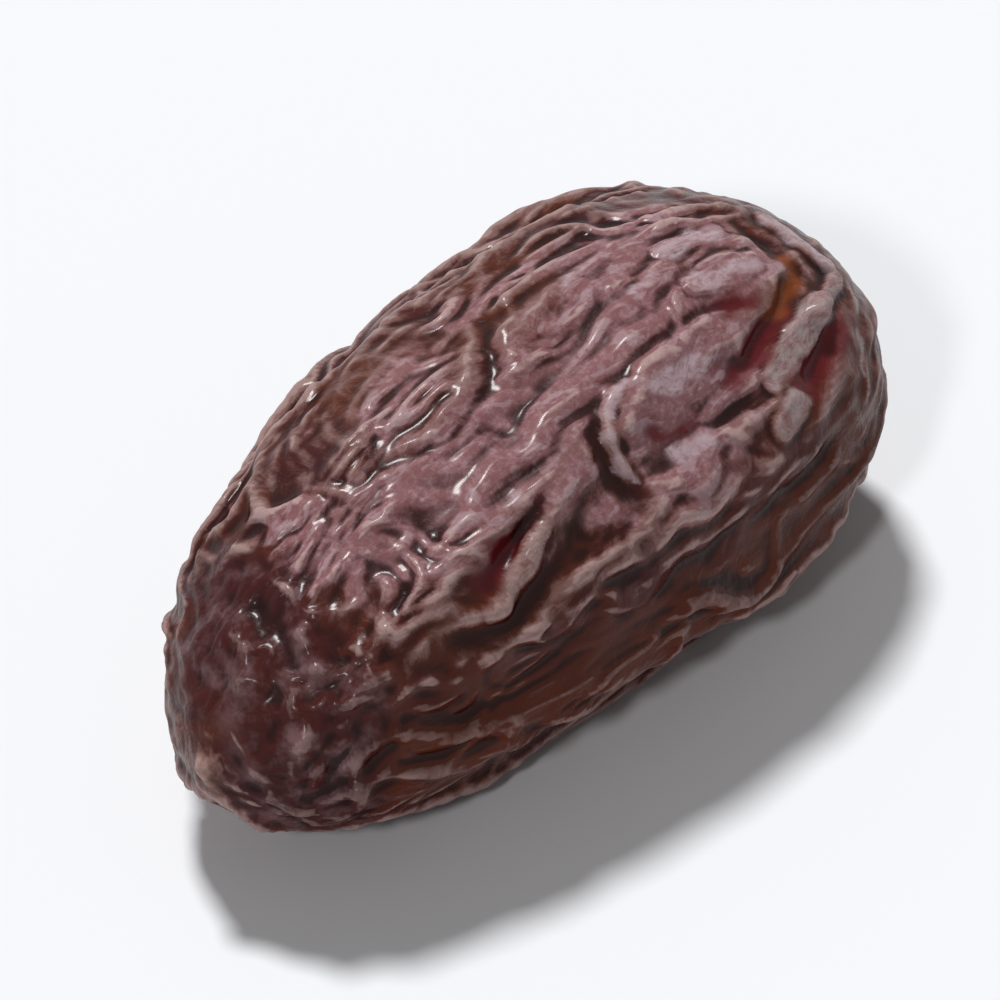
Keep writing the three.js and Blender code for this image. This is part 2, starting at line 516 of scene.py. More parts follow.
def end_marks(flesh, points):
    """The height of the scar and of the tip's stub, and how far each point is from the scar's middle."""
    too_deep = np.maximum(flesh.scar[0] - SCAR_REACH - points[:, 0], 0)
    off = np.hypot(*(points - flesh.scar)[:, 1:].T) + SCAR_FADE * too_deep
    dish = smoothed_step((SCAR_DISH - off) / SCAR_WALL + 0.5)
    rim = cross_section("round", off - SCAR_RIM, SCAR_RIM_WIDTH)
    stub = cross_section("round", np.linalg.norm(points - flesh.tip, axis=1), STYLE_RADIUS)
    return SCAR_RIM_HEIGHT * rim - SCAR_DEPTH * dish + STYLE_HEIGHT * stub, off


def hand_folds(flesh, points):
    """The height of the listed folds, and how close each point is to one of them, from 0 to 1.

    The height comes in two parts: the round folds, with the lumps and the marks at both ends, and the crisp
    folds.
    """
    height = {"broad": np.zeros(len(points)), "crisp": np.zeros(len(points))}
    close = np.zeros(len(points))
    strength = STRENGTH + STRENGTH_SPREAD * soft_noise(points, STRENGTH_SIZE, SEEDS["strength"])
    points = points + FOLD_WAVER * noise_vectors(points, WAVER_SIZE, SEEDS["waver"])
    for kind, crest, half_width, places in FOLDS:
        line = [flesh.place(*spot) for spot in smooth_line(places)]
        away, where = distance_to_line(points, line)
        taper = 1
        if kind != "flat":
            taper = np.clip(np.minimum(where, 1 - where) * FOLD_RISE + FOLD_END, 0, 1)
        part = "broad" if kind == "round" else "crisp"
        height[part] += crest * taper * cross_section(kind, away, half_width)
        close = np.maximum(close, np.exp(-((away / (half_width + FOLD_CLEARANCE)) ** 2)))
    for place, crest, half_width in LUMPS:
        away = np.linalg.norm(points - flesh.place(*place), axis=1)
        height["broad"] += crest * cross_section("round", away, half_width)
    ends, off = end_marks(flesh, points)
    close = np.maximum(close, smoothed_step((SCAR_RIM + SCAR_CLEARANCE - off) / SCAR_CLEARANCE))
    return height["broad"] * strength + ends, height["crisp"] * strength, close


def unrolled(flesh, net, points, turn):
    """The points moved so that noise read there runs lengthwise and draws together towards both ends."""
    across = points[:, 1:] - flesh.centre[1:]
    radius = np.hypot(across[:, 0], across[:, 1])
    angle = np.arctan2(across[:, 1], across[:, 0]) + turn
    spread = np.sqrt(radius * UNROLLED_RADIUS)
    return np.stack([net.share * UNROLLED_LENGTH, spread * np.cos(angle), spread * np.sin(angle)], axis=1)


def ridges(net, points, places, spacing, seed, stretch, half_width):
    """Thin crests, from 0 to 1, that wander and join, with wide flat hollows between them."""
    bend = noise_vectors(places, spacing * BEND_SIZE, seed + 1, 1.5)
    field = soft_noise(places + BEND * spacing * bend, spacing * 2, seed, stretch)
    away = np.abs(field) / (net.slope(points, field) + LEAST_SLOPE / spacing)
    strength = 0.6 + 0.5 * soft_noise(places, spacing * BLOTCH_SIZE, seed + 4, stretch)
    return np.clip(strength, 0, 1.2) * cross_section("sharp", away, half_width)


# ------------------------ wrinkling

# Thin crests drawn on each net before it wrinkles, one or more sets to a net: their height and their spacing
# in millimetres, how much longer they run along the fruit than across it, and their half width in millimetres
RELIEF = (
    ((0.4, 6.0, 2.5, 0.9),),
    ((0.30, 2.8, 4.0, 0.32),),
    ((0.22, 1.6, 4.0, 0.24), (0.10, 1.0, 2.5, 0.24)),
)

# How much of the broad and of the crisp listed folds goes into each net
HAND_SHARES = ((0.0, 0.0), (0.8, 0.15), (0.0, 0.5))

# The height of the puckers round the tip on each net and their size, in millimetres, and how far from the tip
# they reach and over what distance they fade, as shares of the length
PUCKERS = (0.0, 0.05, 0.05)
PUCKER_SIZE = 1.4
PUCKER_REACH = 0.25
PUCKER_FADE = 0.08

# How each net wrinkles: its spare skin round the fruit and along it, its stiffness, how firmly the flesh
# keeps it from lifting off, from being pressed in and from sliding, and the number of steps
LEVELS = (
    (0.04, 0.0, 0.05, 0.0006, 0.003, 0.0005, 200),
    (0.05, 0.005, 0.03, 0.0010, 0.01, 0.001, 250),
    (0.04, 0.005, 0.04, 0.0025, 0.01, 0.002, 130),
)

# How each net's folds are drawn to crests: the smoothing passes that find them, the height in millimetres at
# which they start to sharpen, and how strongly
PEAKS = (
    (8, 0.3, 0.15),
    (12, 0.15, 0.5),
    (12, 0.10, 0.4),
)

# How often the flesh under the coarsest net is smoothed
FLESH_SMOOTHING = 6

# The shares of the crests and of the spare skin that are held back beside the listed folds
HAND_CLEAR = 0.75
HAND_CALM = 0.75

# The same on the shoulder round the scar, and the shares of the length where the shoulder begins and fades in
SHOULDER_CLEAR = 0.45
SHOULDER_CALM = 0.3
SHOULDER = 0.78
SHOULDER_FADE = 0.12

# Within this radius of the fruit's axis the skin has no spare round it. It fades in over the next distance,
# both in millimetres. The thin crests keep a share of their height at the axis.
POLE_RADIUS = 2
POLE_FADE = 6
POLE_CRESTS = 0.3

# The skin wrinkles in patches. Their size is in millimetres, shrinks from net to net and is longer along the
# fruit. A patch has more spare skin round the fruit, less along it, and a firmer hold.
PATCH_SIZE = 9
PATCH_SHRINK = 1.6
PATCH_STRETCH = 1.5
PATCH_AROUND = 0.5
PATCH_ALONG = 0.3
PATCH_HOLD = 1.2

# How far the wrinkles turn from the fruit's length, in radians, the patches in which they turn, as above, and
# the share of that turn that the grain follows
TURN = 0.7
TURN_SIZE = 16
TURN_SHRINK = 1.5
TURN_STRETCH = 1.3
GRAIN_TURN = 0.25

# How uneven the skin is when it starts to wrinkle and the size of its bumps, in millimetres, and how that
# size shrinks from net to net
START = 0.03
START_SIZE = 1.5
START_SHRINK = 0.6

# The share of the steps in which the skin still grows, how hard it pulls, and how much of its speed it keeps
GROWING = 0.6
PULL = 0.09
MOMENTUM = 0.85

# The greatest lift that counts when a fold is drawn to a crest, in heights at which it starts to sharpen
PEAK_LIMIT = 3

# A point that stands out from those beside it by more than this, in millimetres, is a spike, and fully so
# past the fade. It is drawn back by a share of that distance, a few times over.
SPIKE = 0.05
SPIKE_FADE = 0.08
SPIKE_PULL = 0.7
SPIKE_ROUNDS = 3


def wrinkle(
    net, base, start, turn, spare_around, spare_along, bending, hold_out, hold_in, hold_across, steps
):
    """Lets skin that is larger than the flesh under it buckle. Returns where its points come to rest.

    base is the flesh and start is where the skin begins. turn is how far the wrinkles turn from the fruit's
    length, in radians. The spare skin is a share of its length across the wrinkles and along them. bending is
    its stiffness, and the holds are how strongly the flesh keeps it from lifting off, from being pressed in,
    and from sliding.
    """
    normal = net.normals(base)
    lengthwise = np.array([1.0, 0, 0]) - normal[:, :1] * normal
    lengthwise /= np.maximum(np.linalg.norm(lengthwise, axis=1, keepdims=True), 1e-6)
    sideways = np.cross(normal, lengthwise)
    lengthwise = np.cos(turn)[:, None] * lengthwise + np.sin(turn)[:, None] * sideways
    reach = base[net.near] - base[:, None]
    length = np.maximum(np.linalg.norm(reach, axis=2), 1e-6)
    run = (np.einsum("ijk,ik->ij", reach, lengthwise) / length) ** 2
    spare = spare_along[:, None] * run + spare_around[:, None] * (1 - run)

    base = base.astype(np.float32)
    normal = normal.astype(np.float32)
    length = length.astype(np.float32)
    spare = spare.astype(np.float32)
    near = net.near
    beside = net.beside
    skin = start.astype(np.float32)
    speed = np.zeros_like(skin)
    hold_out = hold_out.astype(np.float32)
    for step in range(steps):
        grown = min(1.0, (step + 1) / (GROWING * steps))
        reach = skin[near] - skin[:, None]
        span = np.sqrt(np.einsum("ijk,ijk->ij", reach, reach)) + 1e-9
        pull = 1 - length * (1 + grown * spare) / span
        force = PULL * np.einsum("ij,ijk->ik", pull, reach)
        shift = skin - base
        bend = shift[beside].mean(axis=1) - shift
        bend = bend[beside].mean(axis=1) - bend
        lift = np.einsum("ij,ij->i", shift, normal)
        hold = np.where(lift > 0, hold_out, hold_in)
        slide = shift - lift[:, None] * normal
        force -= bending * bend + (hold * lift)[:, None] * normal + hold_across * slide
        speed = MOMENTUM * speed + force
        skin = skin + speed
        skin[:, 2] = np.maximum(skin[:, 2], 0)
    return skin.astype(float)


def random_crests(net, level, points, places):
    """The height of the thin crests drawn at random on a net."""
    total = np.zeros(net.count)
    for k, (height, spacing, stretch, half_width) in enumerate(RELIEF[level]):
        seed = SEEDS["crests"] + 10 * level + 5 * k
        total += height * ridges(net, points, places, spacing, seed, stretch, half_width)
    return total


def grow_level(flesh, net, level, flat, base):
    """Wrinkles one net. flat is the net laid on the flesh, and base is flat with the coarser net's wrinkles.

    Returns where the net's points come to rest, and where noise is read for the grain.
    """
    around, along, bending, hold_out, hold_in, hold_across, steps = LEVELS[level]
    patch = soft_noise(base, PATCH_SIZE / PATCH_SHRINK ** level, SEEDS["patch"] + level, PATCH_STRETCH)
    turn = TURN * soft_noise(base, TURN_SIZE / TURN_SHRINK ** level, SEEDS["turn"] + level, TURN_STRETCH)
    ring = np.hypot(base[:, 1] - flesh.centre[1], base[:, 2] - flesh.centre[2])
    side = np.clip((ring - POLE_RADIUS) / POLE_FADE, 0, 1)
    shoulder = smoothed_step((net.share - SHOULDER) / SHOULDER_FADE)
    near_apex = smoothed_step((PUCKER_REACH - net.share) / PUCKER_FADE)
    broad, crisp, close = hand_folds(flesh, flat)
    places = unrolled(flesh, net, flat, GRAIN_TURN * turn)

    crests = random_crests(net, level, flat, places)
    clear = (1 - HAND_CLEAR * close) * (POLE_CRESTS + (1 - POLE_CRESTS) * side)
    crests *= clear * (1 - SHOULDER_CLEAR * shoulder)
    crests += PUCKERS[level] * near_apex * soft_noise(flat, PUCKER_SIZE, SEEDS["puckers"] + level)
    broad_share, crisp_share = HAND_SHARES[level]
    crests += broad_share * broad + crisp_share * crisp
    normal = net.normals(base)
    base = base + normal * net.smooth(crests)[:, None]

    spare_around = around * side * (1 + PATCH_AROUND * patch)
    spare_around = spare_around * (1 - HAND_CALM * close) * (1 - SHOULDER_CALM * shoulder)
    spare_along = along * (1 - PATCH_ALONG * patch)
    uneven = soft_noise(base, START_SIZE * START_SHRINK ** level, SEEDS["start"] + level)
    start = base + normal * (START * uneven)[:, None]
    hold_out = hold_out * np.exp(PATCH_HOLD * patch)
    points = wrinkle(
        net, base, start, turn, spare_around, spare_along, bending, hold_out, hold_in, hold_across, steps
    )
    return peaked(net, points, *PEAKS[level]), places


def grow_skin(flesh):
    """Grows the skin on finer and finer nets.

    Returns the finest net, its points as laid on the flesh, the same points on the skin, and where noise is
    read for the grain.
    """
    previous = None
    for level, (half_cap, rings) in enumerate(NETS):
        net = Net(half_cap, rings)
        flat = net.smooth(flesh.lay(net), FLESH_SMOOTHING * 2 ** level)
        base = flat
        if previous is not None:
            base = base + net.smooth(carry_over(previous, net, shift))
        points, places = grow_level(flesh, net, level, flat, base)
        shift = points - flat
        previous = net
    return net, flat, fit(eased(net, points), flesh), places


def eased(net, points):
    """The points with spikes too thin for the net's cells drawn back in."""
    for _ in range(SPIKE_ROUNDS):
        off = net.unevenness(points)
        spiky = smoothed_step((np.linalg.norm(off, axis=1) - SPIKE) / SPIKE_FADE)
        points = points + SPIKE_PULL * spiky[:, None] * off
    return points


def peaked(net, points, passes, unit, gain):
    """The points with rounded folds turned into thin crests and the hollows between them made shallower."""
    middle = net.smooth(points, passes)
    normal = net.normals(middle)
    lift = np.einsum("ij,ij->i", points - middle, normal)
    drawn = unit * np.expm1(gain * np.minimum(lift / unit, PEAK_LIMIT)) / gain
    return points + normal * (drawn - lift)[:, None]


def fit(points, flesh):
    """The points stretched a little so that they fill the CAD fruit's box and rest on the floor."""
    low, high = points.min(axis=0), points.max(axis=0)
    return flesh.low + (points - low) * (flesh.high - flesh.low) / (high - low)


# ------------------------ marks for the material

# Patches of colour, by name: how soft their edges are, as a share of the half width, and for each patch the
# places it runs through, as for the folds, and its half width in millimetres
PATCHES = {
    "dry": (0.2, (
        (((0.915, 134), (0.88, 136), (0.85, 138)), 0.45),
        (((0.865, 137), (0.83, 139.5), (0.81, 140.5)), 0.8),
        (((0.785, 143), (0.75, 145)), 0.6),
        (((0.76, 154), (0.73, 156)), 0.7),
        (((0.937, 140), (0.904, 152), (0.888, 163)), 0.2),
    )),
    # Pale patches: pale worn skin, and painted light on pads and fields turned away from the lamp
    "pale_and_lit": (0.25, (
        (((0.905, 98), (0.908, 112), (0.92, 126)), 0.75),
        (((0.575, 122), (0.549, 123), (0.528, 127), (0.516, 133), (0.519, 139), (0.53, 145)), 0.24),
        (((0.74, 94), (0.78, 95), (0.82, 96)), 0.5),
        (((0.74, 109), (0.78, 112), (0.82, 113)), 0.45),
        (((0.67, 101), (0.70, 100)), 0.35),
        (((0.62, 84), (0.66, 83)), 0.3),
        (((0.61, 127), (0.64, 128), (0.67, 129)), 0.6),
        (((0.585, 146), (0.605, 147), (0.63, 147)), 0.55),
    )),
    "red": (0.9, (
        (((0.875, 146), (0.83, 149), (0.79, 151)), 1.0),
        (((0.82, 130), (0.76, 135), (0.70, 137)), 0.7),
        (((0.74, 120), (0.78, 122)), 0.6),
        (((0.35, 141), (0.30, 145)), 0.7),
        (((0.57, 136), (0.59, 140), (0.625, 141)), 0.35),
    )),
    "amber": (0.6, (
        (((0.87, 118), (0.86, 124), (0.84, 127), (0.81, 129)), 0.6),
    )),
    # Bloom and painted sheen: where bloom lies thick, some patches also brighten faces turned from the lamp
    "bloom_and_sheen": (0.9, (
        (((0.72, 94), (0.82, 96)), 1.3),
        (((0.71, 109), (0.78, 112), (0.84, 113)), 1.3),
        (((0.66, 84), (0.80, 84)), 1.2),
        (((0.66, 100), (0.5, 110), (0.36, 116), (0.24, 116)), 3.0),
        (((0.69, 131), (0.62, 131), (0.59, 138), (0.60, 147)), 2.9),
        (((0.36, 120), (0.49, 118), (0.57, 113), (0.66, 113)), 0.8),
        (((0.43, 74), (0.36, 82)), 1.8),
        (((0.80, 74), (0.65, 71), (0.52, 66)), 1.1),
        (((0.24, 110), (0.19, 105), (0.2, 85)), 2.0),
        (((0.45, 144), (0.49, 150)), 1.0),
        (((0.46, 135), (0.42, 138)), 0.8),
    )),
    # Bare skin round the tip, and painted shade on the lower side, where the bloom is held back
    "bare_and_shaded": (0.6, (
        (((0.08, 90), (0.08, 130), (0.08, 200)), 4.0),
        (((0.85, 182), (0.7, 183), (0.45, 186), (0.2, 185)), 3.2),
    )),
    # Painted shade: the lower side made a warmer brown
    "warm_and_shaded": (0.8, (
        (((0.9, 180), (0.7, 190), (0.45, 192), (0.2, 190)), 3.0),
        (((0.9, 200), (0.8, 210)), 2.0),
    )),
}

# The marks of relief, fine to broad: how often the skin is smoothed to find what stands out from it, and the
# range of heights, in millimetres, over which the mark goes from 0 to 1
RELIEF_MARKS = {"crest": (5, 0.08), "fold": (25, 0.3), "rise": (120, 0.9)}

# How far the edges of the patches waver and over what distance, in millimetres
TORN = 0.25
TORN_SIZE = 1.6

# The soft edge of the scar's colour and the half width of the stub's, in millimetres, and the stub's strength
SCAR_EDGE = 0.6
STUB_RADIUS = 0.8
STUB_SHARE = 0.5


def patch_mask(flesh, points, patches, edge):
    """1 inside the patches and 0 outside them. The edges are soft over a share of each patch's half width."""
    mask = np.zeros(len(points))
    for places, half_width in patches:
        line = [flesh.place(*spot) for spot in smooth_line(places)]
        away, _ = distance_to_line(points, line)
        mask = np.maximum(mask, smoothed_step((1 + edge - away / half_width) / (2 * edge)))
    return mask


def skin_marks(flesh, net, flat, points):
    """What the material needs to know at each point, by name: all between 0 and 1."""
    normal = net.normals(points)
    marks = {}
    for name, (passes, span) in RELIEF_MARKS.items():
        lift = np.einsum("ij,ij->i", points - net.smooth(points, passes), normal)
        marks[name] = np.clip(0.5 + lift / span, 0, 1)
    torn = flat + TORN * noise_vectors(flat, TORN_SIZE, SEEDS["torn"])
    for name, (edge, patches) in PATCHES.items():
        marks[name] = patch_mask(flesh, torn, patches, edge)
    _, off = end_marks(flesh, torn)
    stub = cross_section("round", np.linalg.norm(flat - flesh.tip, axis=1), STUB_RADIUS)
    marks["scar"] = np.maximum(smoothed_step((SCAR_DISH - off) / SCAR_EDGE), STUB_SHARE * stub)
    return marks


# ------------------------ materials


class Nodes:
    """Adds nodes to a material, one short call each."""

    def __init__(self, name):
        self.material = bpy.data.materials.new(name)
        self.material.use_nodes = True
        self.tree = self.material.node_tree
        self.shader = self.tree.nodes["Principled BSDF"]

    def feed(self, socket, value):
        """Links the socket to another node's output, or sets its value."""
        if isinstance(value, bpy.types.NodeSocket):
            self.tree.links.new(value, socket)
        else:
            socket.default_value = value

    def add(self, kind, output, inputs, **settings):
        """Adds a node and returns one of its outputs."""
        node = self.tree.nodes.new(kind)
        for name, value in settings.items():
            setattr(node, name, value)
        for name, value in inputs.items():
            self.feed(node.inputs[name], value)
        return node.outputs[output]

    def mark(self, name):
        """One of the skin's marks, from 0 to 1."""
        return self.add("ShaderNodeAttribute", "Fac", {}, attribute_name=name)

    def noise(self, place, size, detail=3.0, roughness=0.5, swirl=0.0):
        """Noise from 0 to 1 with blotches about size millimetres wide."""
        inputs = {"Vector": place, "Scale": 1 / (size * MM), "Detail": detail,
                  "Roughness": roughness, "Distortion": swirl}
        return self.add("ShaderNodeTexNoise", "Fac", inputs)

    def sum(self, first, second):
        return self.add("ShaderNodeMath", 0, {0: first, 1: second}, operation="ADD")

    def times(self, first, second):
        return self.add("ShaderNodeMath", 0, {0: first, 1: second}, operation="MULTIPLY")

    def between(self, value, low, high, start=0.0, end=1.0):
        """start where value is low or less, end where it is high or more, and smooth between."""
        inputs = {"Value": value, "From Min": low, "From Max": high, "To Min": start, "To Max": end}
        return self.add("ShaderNodeMapRange", "Result", inputs, interpolation_type="SMOOTHSTEP")

    def crease(self, value, width):
        """1 where the value is one half, falling to 0 on both sides of it: thin winding lines."""
        off = self.add("ShaderNodeMath", 0, {0: value, 1: 0.5}, operation="SUBTRACT")
        off = self.add("ShaderNodeMath", 0, {0: off}, operation="ABSOLUTE")
        return self.between(off, 0.0, width, 1.0, 0.0)

    def mix(self, share, first, second):
        """The first colour where share is 0, and the second where it is 1."""
        return self.add("ShaderNodeMix", 2, {0: share, 6: first, 7: second}, data_type="RGBA")

    def cover(self, layer, share, colour, paint):
        """The colour with a layer of paint over it where share is 1."""
        return self.mix(self.times(share, COVER[layer]), colour, paint)


# Colours of the skin
# Painted shade: the near black laid into the valleys, where shade falls between the folds
VALLEY_SHADE = (0.013, 0.002, 0.0017, 1)
FLESH = (0.052, 0.0085, 0.0085, 1)
WARM = (0.088, 0.0165, 0.006, 1)
# Bloom and painted sheen: the next three colours are the waxy bloom, and also stand for the sheen of light on
# raised skin and, as a haze on bare skin, for reflection
BLOOM_AND_SHEEN = (0.246, 0.107, 0.113, 1)
POWDER_AND_SHEEN = (0.42, 0.262, 0.28, 1)
DUST_AND_SHEEN = (0.205, 0.106, 0.092, 1)
# Pale crests: partly worn skin, partly painted highlight along the crests
CREST_PALE_AND_HIGHLIGHT = (0.54, 0.39, 0.365, 1)
LILAC = (0.47, 0.35, 0.38, 1)
DRY = (0.39, 0.315, 0.31, 1)
RED = (0.105, 0.006, 0.010, 1)
AMBER = (0.24, 0.058, 0.01, 1)
STRAW = (0.42, 0.255, 0.145, 1)

# How much each kind of relief counts towards the height that bloom with painted sheen and painted valley
# shade follow
HEIGHT_SHARES = {"rise": 0.3, "fold": 0.4, "crest": 0.3}

# How much streaks and patches add to the height for the bloom and its painted sheen, and the sums at which it
# begins and is full
BLOOM_AND_SHEEN_STREAKS = 0.9
BLOOM_AND_SHEEN_PATCH = 0.33
BLOOM_AND_SHEEN_BARE_AND_SHADED = -0.48
BLOOM_AND_SHEEN_FROM = 0.87
BLOOM_AND_SHEEN_FULL = 1.24

# The heights at which the painted shade in the valleys begins and is full
VALLEY_SHADE_FROM = 0.51
VALLEY_SHADE_FULL = 0.28

# How strongly each layer of colour covers those under it
COVER = {
    "bloom_and_sheen": 0.92,
    "valley_shade": 0.85,
    "red": 0.85,
    "amber": 0.7,
    "flakes": 0.45,
    "dry": 0.8,
    "scar": 0.9,
}

# How much the grain is squeezed along the fruit for flakes and streaks of dry skin, which makes them longer
STREAK_SQUEEZE = (0.35, 1, 1)

# Gloss of the skin and of the wax over it
SPECULAR = 0.03
COAT = 0.18
COAT_ROUGHNESS = 0.16

# Height of the fine crinkles and pebbles of the skin, in millimetres
CRINKLE = 0.03
PEBBLE = 0.05


def base_skin_and_lower_shade(nodes, grain):
    """Plum brown skin, warmer in blotches and on the lower side, where the warmth is painted shade. The
    blotches are faint on the bare patches.
    """
    blotches = nodes.between(nodes.noise(grain, 7, 3, 0.55), 0.4, 0.62)
    blotches = nodes.times(blotches, nodes.between(nodes.mark("bare_and_shaded"), 0.0, 1.0, 1.0, 0.2))
    # Painted shade: warmer brown on the lower side
    return nodes.mix(nodes.sum(blotches, nodes.mark("warm_and_shaded")), FLESH, WARM)


def skin_height(nodes):
    """How far the skin stands out, from 0 to 1."""
    parts = {name: nodes.times(nodes.mark(name), share) for name, share in HEIGHT_SHARES.items()}
    return nodes.sum(parts["rise"], nodes.sum(parts["fold"], parts["crest"]))


def bloom_and_sheen_share(nodes, height, streaks):
    """How much bloom and painted sheen, 0 to 1: most on the bloom patches and on what stands out, in streaks.
    """
    total = nodes.sum(height, nodes.times(streaks, BLOOM_AND_SHEEN_STREAKS))
    total = nodes.sum(total, nodes.times(nodes.mark("bloom_and_sheen"), BLOOM_AND_SHEEN_PATCH))
    # Painted shade in part: less bloom and sheen on the bare patches darkens the lower side
    total = nodes.sum(total, nodes.times(nodes.mark("bare_and_shaded"), BLOOM_AND_SHEEN_BARE_AND_SHADED))
    return nodes.between(total, BLOOM_AND_SHEEN_FROM, BLOOM_AND_SHEEN_FULL)


def bloom_and_sheen_colour(nodes, place):
    """Bloom and painted sheen: mauve on the bloom patches and tan elsewhere, with powdery spots."""
    powder = nodes.between(nodes.noise(place, 0.5, 4, 0.7), 0.42, 0.75)
    mauve = nodes.mix(nodes.times(powder, 0.8), BLOOM_AND_SHEEN, POWDER_AND_SHEEN)
    tan = nodes.mix(nodes.times(powder, 0.4), DUST_AND_SHEEN, POWDER_AND_SHEEN)
    return nodes.mix(nodes.between(nodes.mark("bloom_and_sheen"), 0.0, 0.8), tan, mauve)


def haze_and_reflection_share(nodes, place):
    """How thick the haze is on the bare patches: powder, and painted reflection. There is none on the warm,
    shaded ones.
    """
    blotches = nodes.between(nodes.noise(place, 2.2, 4, 0.6), 0.45, 0.7, 0.0, 0.3)
    haze_and_reflection = nodes.times(nodes.mark("bare_and_shaded"), blotches)
    return nodes.times(haze_and_reflection, nodes.between(nodes.mark("warm_and_shaded"), 0.0, 0.5, 1.0, 0.0))


def worn_and_highlit_crest_share(nodes, streaks):
    """How pale the finest crests are, worn skin and painted highlight: palest on the bloom patches, least on
    the bare and shaded ones.
    """
    worn_and_lit = nodes.times(nodes.between(nodes.mark("crest"), 0.74, 1.0), nodes.between(streaks, 0.25, 0.55))
    worn_and_lit = nodes.times(worn_and_lit, nodes.between(nodes.mark("bare_and_shaded"), 0.0, 1.0, 0.65, 0.3))
    return nodes.times(worn_and_lit, nodes.between(nodes.mark("bloom_and_sheen"), 0.0, 0.8, 0.65, 1.0))


def dry_skin(nodes, grain, colour):
    """The colour with pale flakes on the bloom patches, pale plates of worn skin and painted light, and
    streaky dry plates over it.
    """
    streaky = nodes.add("ShaderNodeVectorMath", "Vector", {0: grain, 1: STREAK_SQUEEZE}, operation="MULTIPLY")
    flakes = nodes.between(nodes.noise(streaky, 0.7, 3, 0.5), 0.54, 0.60)
    raised = nodes.times(nodes.mark("bloom_and_sheen"), nodes.between(nodes.mark("fold"), 0.42, 0.55))
    colour = nodes.cover("flakes", nodes.times(flakes, raised), colour, LILAC)
    # Painted light in part: the pale patches also brighten faces turned from the lamp
    worn_and_lit = nodes.between(nodes.noise(grain, 0.6, 5, 0.65), 0.36, 0.62, 0.35, 0.9)
    colour = nodes.mix(nodes.times(nodes.mark("pale_and_lit"), worn_and_lit), colour, LILAC)
    streaks = nodes.between(nodes.noise(streaky, 0.35, 5, 0.7, 0.5), 0.32, 0.62)
    return nodes.cover("dry", nodes.mark("dry"), colour, nodes.mix(streaks, BLOOM_AND_SHEEN, DRY))


def skin_colour(nodes, place, grain):
    """The colour of the skin, layer over layer, and how much bloom and painted sheen is on it, from 0 to 1.
    """
    streaks = nodes.noise(grain, 1.1, 5, 0.65, 0.6)
    height = skin_height(nodes)
    bloom_and_sheen = bloom_and_sheen_share(nodes, height, streaks)
    # Painted reflection in part: a haze of powder on the bare skin round the tip
    colour = nodes.mix(haze_and_reflection_share(nodes, place), base_skin_and_lower_shade(nodes, grain), POWDER_AND_SHEEN)
    # Bloom and painted sheen: raised skin made paler, partly bloom and partly the sheen of light on it
    colour = nodes.cover("bloom_and_sheen", bloom_and_sheen, colour, bloom_and_sheen_colour(nodes, place))
    # Painted highlight in part: the finest crests made pale, as worn skin and as the glint of light along
    # them
    colour = nodes.mix(worn_and_highlit_crest_share(nodes, streaks), colour, CREST_PALE_AND_HIGHLIGHT)
    # Painted shade: the valleys darkened where shade falls in them
    colour = nodes.cover("valley_shade", nodes.between(height, VALLEY_SHADE_FROM, VALLEY_SHADE_FULL), colour, VALLEY_SHADE)
    colour = nodes.cover("red", nodes.mark("red"), colour, RED)
    colour = nodes.cover("amber", nodes.mark("amber"), colour, AMBER)
    colour = dry_skin(nodes, grain, colour)
    fibres = nodes.between(nodes.noise(place, 0.35, 4, 0.7), 0.35, 0.8)
    return nodes.cover("scar", nodes.mark("scar"), colour, nodes.mix(fibres, STRAW, FLESH)), bloom_and_sheen


def skin_roughness(nodes, place, bloom_and_sheen):
    """Rougher where the bloom and painted sheen lie, in blotches, and on the dry plates."""
    blotches = nodes.noise(place, 0.9, 4, 0.6)
    roughness = nodes.sum(nodes.between(bloom_and_sheen, 0.0, 1.0, 0.18, 0.26), nodes.times(blotches, 0.22))
    return nodes.sum(roughness, nodes.times(nodes.mark("dry"), 0.15))


def skin_bump(nodes, place):
    """A bump of fine crinkles and pebbles, too small for the net."""
    crinkles = nodes.crease(nodes.noise(place, 1.1, 2, 0.5, 0.8), 0.2)
    pebbles = nodes.noise(place, 0.4, 4, 0.6)
    height = nodes.sum(nodes.times(crinkles, CRINKLE), nodes.times(pebbles, PEBBLE))
    return nodes.add("ShaderNodeBump", "Normal", {"Height": height, "Distance": MM, "Strength": 1.0})


def make_skin_material():
    nodes = Nodes("date_skin")
    place = nodes.add("ShaderNodeTexCoord", "Object", {})
    grain = nodes.add("ShaderNodeAttribute", "Vector", {}, attribute_name="grain")
    colour, bloom_and_sheen = skin_colour(nodes, place, grain)
    inputs = nodes.shader.inputs
    nodes.feed(inputs["Base Color"], colour)
    nodes.feed(inputs["Roughness"], skin_roughness(nodes, place, bloom_and_sheen))
    nodes.feed(inputs["Normal"], skin_bump(nodes, place))
    nodes.feed(inputs["Specular IOR Level"], SPECULAR)
    nodes.feed(inputs["Coat Weight"], COAT)
    nodes.feed(inputs["Coat Roughness"], COAT_ROUGHNESS)
    return nodes.material


# ------------------------ pieces


def make_skin(flesh):
    """The whole fruit's skin, with its flat map and the marks that its material reads."""
    net, flat, points, places = grow_skin(flesh)
    mesh = bpy.data.meshes.new("date_skin")
    mesh.from_pydata((points * MM).tolist(), [], net.quads.tolist())
    mesh.shade_smooth()
    mesh.uv_layers.new(name="OFBake").uv.foreach_set("vector", net.map.astype(np.float32).ravel())
    for name, values in skin_marks(flesh, net, flat, points).items():
        mesh.attributes.new(name, "FLOAT", "POINT").data.foreach_set("value", values.astype(np.float32))
    grain = mesh.attributes.new("grain", "FLOAT_VECTOR", "POINT")
    grain.data.foreach_set("vector", (places * MM).astype(np.float32).ravel())
    skin = new_object("date_skin", mesh)
    mesh.materials.append(make_skin_material())
    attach(skin, "root")
    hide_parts(FRUIT)


# ------------------------ floor and light

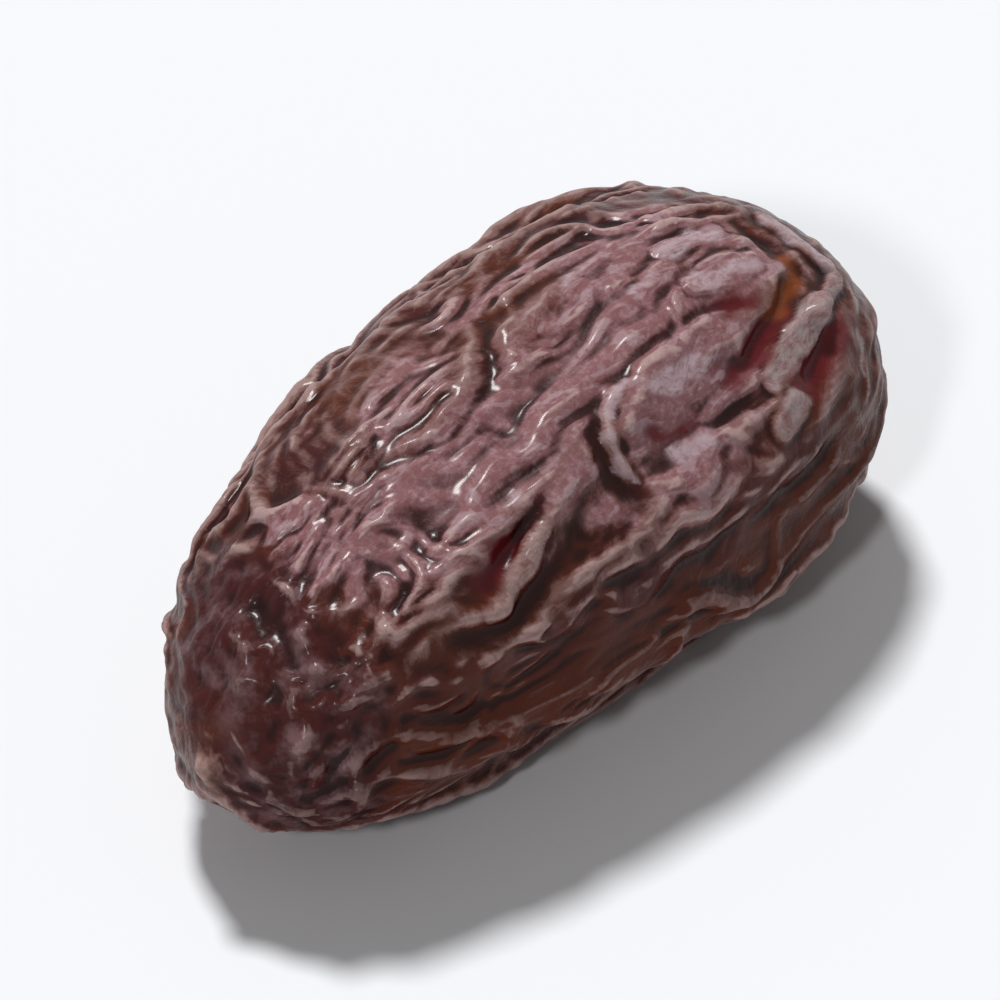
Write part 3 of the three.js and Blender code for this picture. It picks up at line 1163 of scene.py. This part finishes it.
# Half the floor's width in metres, the colours of the floor and the backdrop, and the room's colour and light
FLOOR_REACH = 9
FLOOR = (0.89, 0.905, 0.93, 1)
BACKDROP = (0.93, 0.945, 0.97, 1)
ROOM = (1, 0.99, 0.98, 1)
ROOM_LIGHT = 0.14

# Each lamp: where it shines from, in degrees round the fruit and above the floor, how wide it looks in
# degrees, and its strength
LAMPS = (
    ("key", 20, 66, 10, 2.65),
    ("front", -115, 42, 6, 0.65),
)


def make_floor():
    """A pale floor that reaches the horizon and keeps the fruit's shadow."""
    mesh = bpy.data.meshes.new("floor")
    corners = [(FLOOR_REACH * x, FLOOR_REACH * y, 0) for x, y in ((-1, -1), (1, -1), (1, 1), (-1, 1))]
    mesh.from_pydata(corners, [], [(0, 1, 2, 3)])
    floor = new_object("floor", mesh)
    nodes = Nodes("floor")
    nodes.feed(nodes.shader.inputs["Base Color"], FLOOR)
    nodes.feed(nodes.shader.inputs["Roughness"], 0.9)
    nodes.feed(nodes.shader.inputs["Specular IOR Level"], 0.1)
    mesh.materials.append(nodes.material)


def make_room():
    """An even, neutral room. The camera, gloss and glass show a pale backdrop instead."""
    world = bpy.data.worlds.new("world")
    world.use_nodes = True
    tree = world.node_tree
    room = tree.nodes["Background"]
    room.inputs["Color"].default_value = ROOM
    room.inputs["Strength"].default_value = ROOM_LIGHT
    backdrop = tree.nodes.new("ShaderNodeBackground")
    backdrop.inputs["Color"].default_value = BACKDROP
    path = tree.nodes.new("ShaderNodeLightPath")
    seen = tree.nodes.new("ShaderNodeMixShader")
    shown = path.outputs["Is Camera Ray"]
    for kind in ("Is Glossy Ray", "Is Transmission Ray"):
        either = tree.nodes.new("ShaderNodeMath")
        either.operation = "MAXIMUM"
        tree.links.new(shown, either.inputs[0])
        tree.links.new(path.outputs[kind], either.inputs[1])
        shown = either.outputs[0]
    tree.links.new(shown, seen.inputs[0])
    tree.links.new(room.outputs[0], seen.inputs[1])
    tree.links.new(backdrop.outputs[0], seen.inputs[2])
    tree.links.new(seen.outputs[0], tree.nodes["World Output"].inputs["Surface"])
    bpy.context.scene.world = world


def make_lamps():
    """Wide, distant lamps, so that the light is as soft and as strong all over the floor."""
    for name, turn, rise, width, strength in LAMPS:
        data = bpy.data.lights.new(name, "SUN")
        data.angle = math.radians(width)
        data.energy = strength
        turn, rise = math.radians(turn), math.radians(rise)
        towards = Vector((math.sin(turn) * math.cos(rise), math.cos(turn) * math.cos(rise), math.sin(rise)))
        new_object(name, data).rotation_euler = (-towards).to_track_quat("-Z", "Y").to_euler()


low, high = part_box(FRUIT)
make_camera(low, high)
flesh = Flesh(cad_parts[FRUIT], low, high)
make_skin(flesh)
make_floor()
make_room()
make_lamps()
bpy.context.scene.view_settings.view_transform = "Standard"
